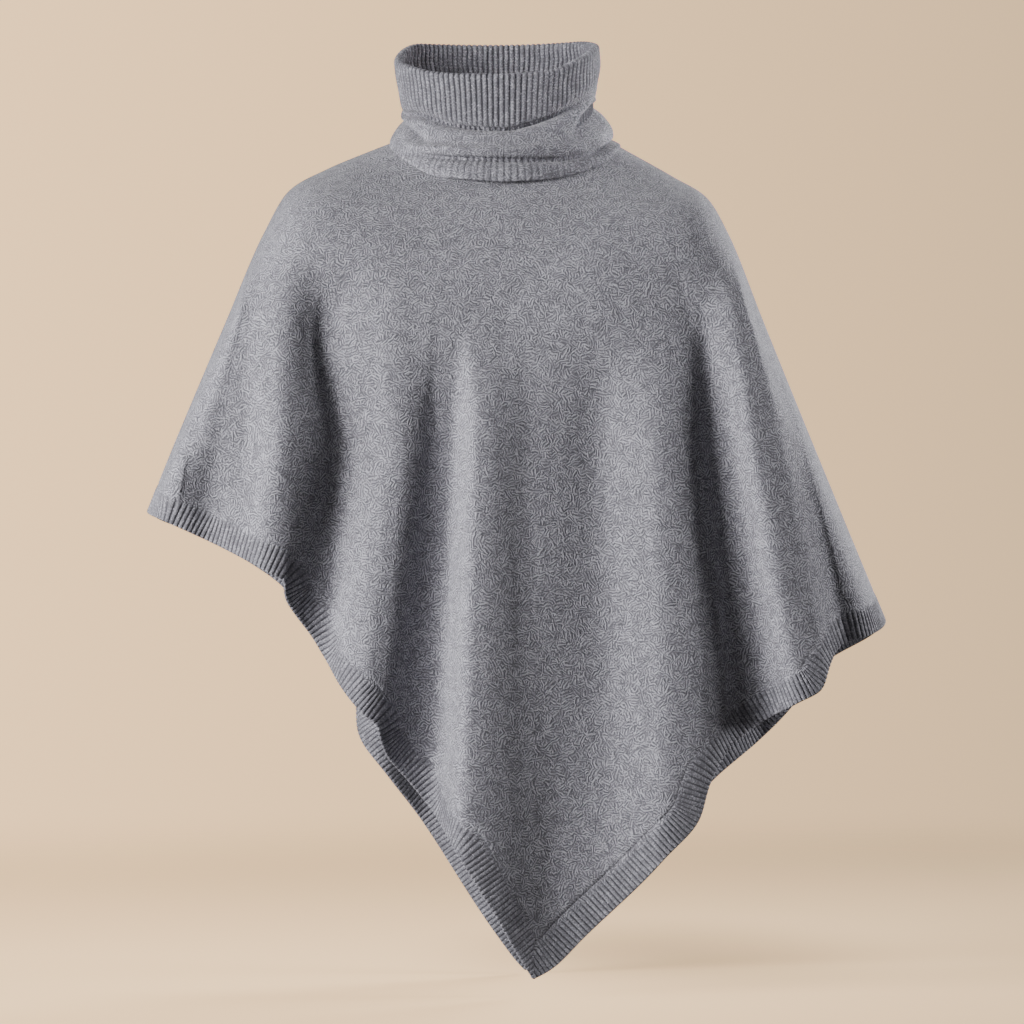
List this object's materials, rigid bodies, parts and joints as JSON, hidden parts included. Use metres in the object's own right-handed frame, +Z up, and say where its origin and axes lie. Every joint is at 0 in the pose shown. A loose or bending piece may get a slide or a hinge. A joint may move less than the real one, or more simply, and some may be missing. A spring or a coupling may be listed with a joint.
{
  "type": "knitted poncho sweater",
  "caption": "Pull-on knitted poncho with a slouched ribbed cowl collar, a pointed asymmetric hem, ribbed hem borders and soft vertical folds, filled out as worn.",
  "frame": {"origin": "centre of the neck opening, level with the neck points of the shoulders, where the wearer's neck and shoulders hold the garment up", "axes": "+Z up, -Y to the front, +X to the viewer's right, which is the wearer's left"},
  "size_m": [0.7374, 0.3224, 0.9388],
  "materials": {
    "grey_felted_jersey": "matt felted wool jersey, heathered mid grey",
    "grey_rib_knit": "matt ribbed wool knit, heathered mid grey"
  },
  "bodies": {
    "root": {"front_panel": "grey_felted_jersey", "back_panel": "grey_felted_jersey", "collar": "grey_rib_knit", "front_border_left": "grey_rib_knit", "front_border_right": "grey_rib_knit", "back_border_left": "grey_rib_knit", "back_border_right": "grey_rib_knit"}
  },
  "joints": []
}
